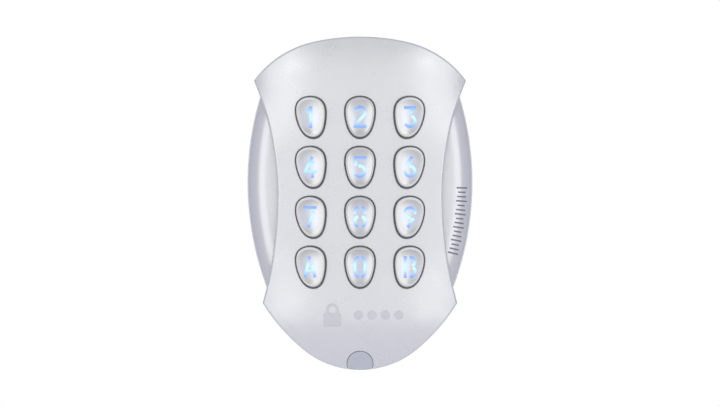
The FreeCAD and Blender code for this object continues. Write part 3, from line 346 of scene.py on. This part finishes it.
# %% Wing plastic
wing = Finish("wing_paint", metallic=0.3, coat_weight=0.4, coat_roughness=0.12)
wing_grain = wing.grain(2.5)
wing.drive("Base Color", wing.blend(wing_grain.outputs["Broad"], (0.78, 0.78, 0.80), (0.84, 0.84, 0.86)))
wing.drive("Roughness", wing.between(wing_grain.outputs["Broad"], 0.23, 0.27))
wing.relief(wing_grain.outputs["Broad"], 0.006)
finishes["pearl_plastic"] = wing.material
print("wing paint ready")

# %% [markdown]
# ## Where a point lies on its key
# All twelve keys stand on one even grid. Wrapping a position by the key pitch gives every key its own
# middle, so one node group serves the chrome and the light behind it. It also says how far a point stands
# in front of the key's back, which tells the polished face from the flange behind the cover, where the
# chrome gets a painted shade.

# %% Key grid
cap_boxes = [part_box(name) for name in nodes if name.startswith("key_cap_")]
row_middles = sorted({round((low[2] + high[2]) / 2, 5) for low, high in cap_boxes})
key_pitch = (row_middles[-1] - row_middles[0]) / 3
key_back = cap_boxes[0][1][1]

key_place = bpy.data.node_groups.new("key_place", "ShaderNodeTree")
place_out = add_node(key_place, "NodeGroupOutput")
place_axes = add_node(key_place, "ShaderNodeSeparateXYZ")
place_coordinates = add_node(key_place, "ShaderNodeTexCoord")
key_place.links.new(place_coordinates.outputs["Object"], place_axes.inputs["Vector"])
for axis, output, offset in (("X", "Across", 0.0), ("Z", "Upwards", row_middles[0])):
    key_place.interface.new_socket(output, in_out="OUTPUT", socket_type="NodeSocketFloat")
    shift = add_node(key_place, "ShaderNodeMath", operation="SUBTRACT")
    shift.inputs[1].default_value = offset
    wrapped = add_node(key_place, "ShaderNodeMath", operation="WRAP")
    wrapped.inputs[1].default_value = key_pitch / 2
    wrapped.inputs[2].default_value = -key_pitch / 2
    distance = add_node(key_place, "ShaderNodeMath", operation="ABSOLUTE")
    key_place.links.new(place_axes.outputs[axis], shift.inputs[0])
    key_place.links.new(shift.outputs[0], wrapped.inputs[0])
    key_place.links.new(wrapped.outputs[0], distance.inputs[0])
    key_place.links.new(distance.outputs[0], place_out.inputs[output])
key_place.interface.new_socket("Depth", in_out="OUTPUT", socket_type="NodeSocketFloat")
from_back = add_node(key_place, "ShaderNodeMath", operation="SUBTRACT")
from_back.inputs[0].default_value = key_back
key_place.links.new(place_axes.outputs["Y"], from_back.inputs[1])
key_place.links.new(from_back.outputs[0], place_out.inputs["Depth"])
print(f"key pitch {key_pitch / MM:.2f} mm")

# %% [markdown]
# ## Chromed keys
# Each key is cast zinc with a satin chrome finish, polished by fingers in the hollow. Chrome needs almost no
# colour of its own: a high metallic value with a low, slightly cloudy roughness, and hairline polishing
# marks that run across the key as a stretched noise.

# %% Satin chrome
chrome = Finish("satin_chrome", metallic=1.0, emission_strength=0.16)
hair_fineness = (260, 1200, 4200)
chrome_grain = chrome.grain(1.6)
hair_place = chrome.node("ShaderNodeTexCoord")
hair_stretch = chrome.node("ShaderNodeMapping")
hair_stretch.inputs["Scale"].default_value = hair_fineness
hair = chrome.node("ShaderNodeTexNoise")
hair.inputs["Detail"].default_value = 3.0
hair.inputs["Scale"].default_value = 1.0
chrome.tree.links.new(hair_place.outputs["Object"], hair_stretch.inputs["Vector"])
chrome.tree.links.new(hair_stretch.outputs["Vector"], hair.inputs["Vector"])
polished = chrome.blend(chrome_grain.outputs["Broad"], (0.57, 0.57, 0.58), (0.63, 0.63, 0.635))
chrome.drive("Roughness", chrome.between(hair.outputs["Fac"], 0.20, 0.28))
chrome.relief(hair.outputs["Fac"], 0.0015)
print("chrome base:", len(chrome.tree.nodes), "nodes")

# %% [markdown]
# A little of the blue light spills out of each character and tints the hollow round it. A soft oval of
# emission about the middle of the key paints that spill on, fading out before the rim. The chrome on the
# flange behind the cover is painted dark grey as the shade in the gap, which shows as the thin dark line
# round each key.

# %% Spill of blue light and painted gap shade
spill_half_width, spill_half_height = 5.2 * MM, 7.2 * MM
flange_front, face_back = 1.6 * MM, 2.6 * MM
chrome_place = chrome.node("ShaderNodeGroup", node_tree=key_place)
reach_across = chrome.between(chrome_place.outputs["Across"], 0.0, 1.0, start=0.0, end=spill_half_width)
reach_up = chrome.between(chrome_place.outputs["Upwards"], 0.0, 1.0, start=0.0, end=spill_half_height)
squares = []
for reach in (reach_across, reach_up):
    square = chrome.node("ShaderNodeMath", operation="POWER")
    square.inputs[1].default_value = 2.0
    chrome.tree.links.new(reach, square.inputs[0])
    squares.append(square.outputs[0])
spill = chrome.node("ShaderNodeMath", operation="ADD")
for socket, square in zip(spill.inputs, squares):
    chrome.tree.links.new(square, socket)
# Painted shade: chrome on the flange, behind the cover, is coloured dark grey for the shade in the gap round
# each key.
clear_of_gap_shade = chrome.between(chrome_place.outputs["Depth"], 0.0, 1.0, start=flange_front, end=face_back)
chrome.drive("Base Color", chrome.blend(clear_of_gap_shade, (0.14, 0.14, 0.145), polished))
fade = chrome.between(spill.outputs[0], 0.0, 1.0, start=0.1, end=1.0)
chrome.drive("Emission Color", chrome.blend(fade, (0.30, 0.50, 1.0), (0.0, 0.0, 0.0)))
finishes["key_metal"] = chrome.material
print("chrome ready")

# %% [markdown]
# ## Lit characters
# The clear guide behind each character is lit by two blue lamps, one above and one below the middle. The
# light is nearly white in the middle of the key and turns to a deeper periwinkle at its ends. The height
# above or below the middle of the key drives that change of colour.

# %% Blue light
glow = Finish("blue_glow", roughness=0.45, emission_strength=0.72)
white_half, blue_half = 0.6 * MM, 5.0 * MM
glow_place = glow.node("ShaderNodeGroup", node_tree=key_place)
glow_grain = glow.grain(2.2)
outwards = glow.between(glow_place.outputs["Upwards"], 0.0, 1.0, start=white_half, end=blue_half)
cloud = glow.between(glow_grain.outputs["Broad"], 0.0, 0.45)
blue = glow.blend(outwards, (0.60, 0.90, 1.0), (0.15, 0.28, 0.82))
glow.drive("Emission Color", glow.blend(cloud, blue, (0.34, 0.56, 1.0)))
glow.drive("Base Color", glow.blend(outwards, (0.30, 0.48, 0.62), (0.12, 0.20, 0.48)))
glow.relief(glow_grain.outputs["Fine"], 0.02)
finishes["guide_clear"] = glow.material
print("glow:", len(glow.tree.nodes), "nodes")

# %% [markdown]
# ## Working parts
# What sits behind the cover is seen only when a key or the cap is moved, or from the back. Each still gets
# its own finish: zinc-plated steel, rubber, solder mask, gold, black and green mouldings.

# %% Plain finishes


def grained(name, dark, light, grain_mm, rough, relief_mm, **sockets):
    """A finish whose colour, roughness and relief all follow one grain."""
    finish = Finish(name, **sockets)
    grain = finish.grain(grain_mm)
    finish.drive("Base Color", finish.blend(grain.outputs["Broad"], dark, light))
    finish.drive("Roughness", finish.between(grain.outputs["Fine"], *rough))
    finish.relief(grain.outputs["Fine"], relief_mm)
    return finish.material


finishes["cap_plastic"] = grained(
    "moon_cap_paint",
    (0.58, 0.60, 0.66),
    (0.64, 0.66, 0.72),
    0.9,
    (0.26, 0.36),
    0.01,
    metallic=0.2,
    coat_weight=0.4,
)
finishes["plate_steel"] = grained(
    "zinc_plate", (0.46, 0.47, 0.49), (0.62, 0.63, 0.64), 3.0, (0.28, 0.46), 0.01, metallic=1.0
)
finishes["screw_steel"] = grained(
    "bright_zinc", (0.55, 0.55, 0.56), (0.70, 0.70, 0.70), 0.6, (0.22, 0.36), 0.004, metallic=1.0
)
finishes["black_rubber"] = grained(
    "black_rubber", (0.018, 0.018, 0.020), (0.035, 0.035, 0.036), 0.5, (0.62, 0.80), 0.02
)
finishes["circuit_board"] = grained(
    "solder_mask", (0.008, 0.085, 0.035), (0.02, 0.15, 0.06), 1.2, (0.30, 0.42), 0.02
)
finishes["silicone"] = grained(
    "milky_silicone", (0.56, 0.60, 0.66), (0.66, 0.70, 0.74), 0.8, (0.48, 0.62), 0.02
)
finishes["gold"] = grained(
    "contact_gold", (0.70, 0.47, 0.16), (0.86, 0.62, 0.27), 0.3, (0.20, 0.32), 0.002, metallic=1.0
)
finishes["led_body"] = grained(
    "clear_lamp", (0.42, 0.62, 0.90), (0.60, 0.78, 0.98), 0.3, (0.10, 0.18), 0.005
)
finishes["black_plastic"] = grained(
    "black_moulding", (0.014, 0.014, 0.016), (0.030, 0.030, 0.033), 0.35, (0.42, 0.58), 0.015
)
finishes["spacer_brass"] = grained(
    "turned_brass", (0.52, 0.38, 0.14), (0.68, 0.52, 0.22), 0.3, (0.20, 0.36), 0.004, metallic=1.0
)
finishes["green_plastic"] = grained(
    "green_moulding", (0.010, 0.16, 0.06), (0.020, 0.24, 0.09), 0.6, (0.34, 0.46), 0.01
)
finishes["can_aluminium"] = grained(
    "can_aluminium", (0.52, 0.53, 0.55), (0.68, 0.69, 0.70), 0.4, (0.26, 0.40), 0.005, metallic=1.0
)
finishes["plunger_plastic"] = grained(
    "ivory_moulding", (0.66, 0.65, 0.61), (0.76, 0.75, 0.71), 0.5, (0.34, 0.48), 0.01
)
finishes["carbon"] = grained(
    "pressed_carbon", (0.010, 0.010, 0.010), (0.022, 0.022, 0.022), 0.2, (0.55, 0.75), 0.01
)
print(len(finishes), "finishes")

# %% [markdown]
# The record names a material slot for every part. Painting is one pass over that list, so a part added later
# gets its finish from its slot.

# %% Paint the frame's parts
for entry in frame["record"]["subparts"]:
    for slot in nodes[entry["node"]].material_slots:
        slot.material = finishes[entry["material_slot"]]

# %% [markdown]
# ## Marks on the cover
# Below the keys the cover carries a small raised mark: a padlock and four round dots, as for a four-figure
# code. They are low castings that follow the curve of the cover. We model each flat, then lay its points on
# the painted surface by casting a ray straight back at the cover.

# %% Laying pieces on a surface
depsgraph = bpy.context.evaluated_depsgraph_get()
RAY_START = -0.2
MERGE_DISTANCE = 1e-6
SMOOTH_ANGLE = 40


def surface_of(node_name):
    """A part's surface, ready for casting rays at it."""
    return BVHTree.FromObject(nodes[node_name], depsgraph)


def lay_on(mesh, surface, sink_mm=0.05):
    """Drops a flat mesh, drawn in the XZ plane with its height along -Y, on to a surface."""
    for vert in mesh.verts:
        start = Vector((vert.co.x, RAY_START, vert.co.z))
        hit = surface.ray_cast(start, Vector((0, 1, 0)))[0]
        vert.co.y += hit.y + sink_mm * MM


def finish_piece(name, mesh, body, finish):
    """Turns a mesh into a piece with a finish, riding on a body."""
    bmesh.ops.remove_doubles(mesh, verts=mesh.verts, dist=MERGE_DISTANCE)
    bmesh.ops.recalc_face_normals(mesh, faces=mesh.faces)
    data = bpy.data.meshes.new(name)
    mesh.to_mesh(data)
    mesh.free()
    data.materials.append(finishes[finish])
    data.shade_smooth()
    data.set_sharp_from_angle(angle=math.radians(SMOOTH_ANGLE))
    piece = bpy.data.objects.new(name, data)
    bpy.context.scene.collection.objects.link(piece)
    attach(piece, body)
    print(f"{name}: {len(data.polygons)} faces")


print("surfaces and pieces: helpers ready")

# %% [markdown]
# Every mark is made in the same three steps: a flat outline, a small thickness towards the front, and a
# rounded front edge, as on a casting that has to come out of its mould.

# %% Raised shapes
LEVEL = 1e-7
SHARP_ANGLE = 0.6


def upright(x, z):
    """A transform that stands a shape drawn in XY up in the XZ plane, at a place on the cover."""
    return Matrix.Translation((x, 0, z)) @ Matrix.Rotation(math.radians(90), 4, "X")


def round_over(mesh, radius):
    """Bevels the sharp edges of the front faces."""
    front = min(vert.co.y for vert in mesh.verts)
    rim = [edge for edge in mesh.edges if all(abs(vert.co.y - front) < LEVEL for vert in edge.verts)]
    rim = [edge for edge in rim if len(edge.link_faces) == 2 and edge.calc_face_angle(0) > SHARP_ANGLE]
    bmesh.ops.bevel(
        mesh,
        geom=rim,
        offset=radius,
        offset_type="OFFSET",
        segments=3,
        profile=0.5,
        affect="EDGES",
        material=-1,
    )


def raise_shape(mesh, height):
    """Gives a flat shape its thickness, towards the front."""
    faces = mesh.faces[:]
    lifted = bmesh.ops.extrude_face_region(mesh, geom=faces)["geom"]
    tops = [item for item in lifted if isinstance(item, bmesh.types.BMVert)]
    bmesh.ops.translate(mesh, verts=tops, vec=(0, -height, 0))


def raised_dot(x, z, radius, height):
    """A low round button on the cover."""
    dot = bmesh.new()
    bmesh.ops.create_circle(dot, cap_ends=True, segments=40, radius=radius, matrix=upright(x, z))
    raise_shape(dot, height)
    round_over(dot, height * 0.6)
    return dot


# The marks are cast in the cover's own paint; their slightly darker grey is painted shade, standing in for
# the shading along their low raised edges.
finishes["mark_painted_shade"] = grained(
    "mark_painted_shade", (0.68, 0.69, 0.71), (0.73, 0.74, 0.76), 0.9, (0.30, 0.40), 0.01
)
cover_surface = surface_of("front_cover")
mark_level = -47.3 * MM
mark_height = 0.3 * MM
dot_count = 4
first_dot_x, dot_pitch, dot_radius = -0.6, 5.7, 1.9
for number in range(dot_count):
    dot = raised_dot((first_dot_x + dot_pitch * number) * MM, mark_level, dot_radius * MM, mark_height)
    lay_on(dot, cover_surface)
    finish_piece(f"code_dot_{number + 1}", dot, "panel", "mark_painted_shade")

# %% [markdown]
# The padlock is a rounded body under a round shackle. The body is a flat grid with its four corners
# rounded, raised and eased like the dots.

# %% Padlock body
lock_x = -11.7 * MM
lock_half_width = 3.7 * MM
lock_half_height = 2.9 * MM
lock_middle = mark_level - 2.0 * MM
lock_top = lock_middle + lock_half_height
lock_corner, lock_round = 1.0 * MM, 0.16 * MM
lock = bmesh.new()
bmesh.ops.create_grid(lock, x_segments=6, y_segments=5, size=1.0)
bmesh.ops.scale(lock, verts=lock.verts, vec=(lock_half_width, lock_half_height, 1))
corners = [vert for vert in lock.verts if len(vert.link_edges) == 2]
bmesh.ops.bevel(
    lock,
    geom=corners,
    offset=lock_corner,
    offset_type="OFFSET",
    segments=5,
    profile=0.5,
    affect="VERTICES",
    material=-1,
)
bmesh.ops.transform(lock, matrix=upright(lock_x, lock_middle), verts=lock.verts)
raise_shape(lock, mark_height)
round_over(lock, lock_round)
lay_on(lock, cover_surface)
finish_piece("lock_body", lock, "panel", "mark_painted_shade")

# %% [markdown]
# The shackle is a small bar with two chamfered front corners. We spin its section half a turn, then pull the
# two open ends down into the body.

# %% Padlock shackle
shackle = bmesh.new()
inner, outer, chamfer = 1.6 * MM, 2.6 * MM, 0.1 * MM
bend_z = lock_top + 1.4 * MM
section = [
    (inner, 0),
    (outer, 0),
    (outer, chamfer - mark_height),
    (outer - chamfer, -mark_height),
    (inner + chamfer, -mark_height),
    (inner, chamfer - mark_height),
]
start_face = shackle.faces.new([shackle.verts.new((lock_x + x, y, bend_z)) for x, y in section])
bmesh.ops.spin(
    shackle,
    geom=[start_face, *start_face.edges, *start_face.verts],
    cent=(lock_x, 0, bend_z),
    axis=(0, -1, 0),
    angle=math.pi,
    steps=24,
    use_merge=False,
)
ends = [face for face in shackle.faces if len(face.verts) == len(section)]
for face in ends:
    leg = bmesh.ops.extrude_face_region(shackle, geom=[face])["geom"]
    foot = [item for item in leg if isinstance(item, bmesh.types.BMVert)]
    bmesh.ops.translate(shackle, verts=foot, vec=(0, 0, lock_top - bend_z - 0.1 * MM))
bmesh.ops.delete(shackle, geom=ends, context="FACES_ONLY")
lay_on(shackle, cover_surface)
finish_piece("lock_shackle", shackle, "panel", "mark_painted_shade")

# %% [markdown]
# ## Marks on the wing
# The right wing carries a ladder of small dark inlays down its flat. Each is a short bar turned square to
# the wing's edge, so we place them along the arc of the wing.

# %% Wing inlays
wing_surface = surface_of("rear_housing")
finishes["inlay_grey"] = grained(
    "inlay_grey", (0.20, 0.20, 0.23), (0.27, 0.27, 0.30), 0.4, (0.4, 0.55), 0.01
)
wing_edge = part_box("rear_housing")[1][0]
wing_radius = 127.0 * MM
arc_middle_z = 9.0 * MM
arc_centre = Vector((wing_edge - wing_radius, 0, arc_middle_z))
inlay_radius = wing_radius - 4.8 * MM
bar_count = 16
first_turn, bar_step = -1.1, 0.88
bar_lengths = (4.6, 3.2, 3.9)
bar_half_width, bar_height, bar_round = 0.33 * MM, 0.12 * MM, 0.05 * MM
bar_sink = 0.06
for number in range(bar_count):
    turn = math.radians(first_turn - bar_step * number)
    length = bar_lengths[number % len(bar_lengths)] * MM
    bar = bmesh.new()
    bmesh.ops.create_grid(bar, x_segments=5, y_segments=2, size=1.0)
    bmesh.ops.scale(bar, verts=bar.verts, vec=(length / 2, bar_half_width, 1))
    spot = arc_centre + Vector((math.cos(turn), 0, math.sin(turn))) * inlay_radius
    bmesh.ops.transform(bar, matrix=upright(spot.x, spot.z) @ Matrix.Rotation(turn, 4, "Z"), verts=bar.verts)
    raise_shape(bar, bar_height)
    round_over(bar, bar_round)
    lay_on(bar, wing_surface, sink_mm=bar_sink)
    finish_piece(f"wing_bar_{number + 1}", bar, "panel", "inlay_grey")

# %% [markdown]
# The floor is a pale matt sheet. A trace of its own light lifts it a little under the soft room.

# %% Floor finish
floor_finish = grained(
    "pale_floor", (0.86, 0.88, 0.93), (0.90, 0.91, 0.95), 40.0, (0.6, 0.7), 0.05, emission_strength=0.15
)
studio_floor.data.materials.append(floor_finish)
print("floor painted")
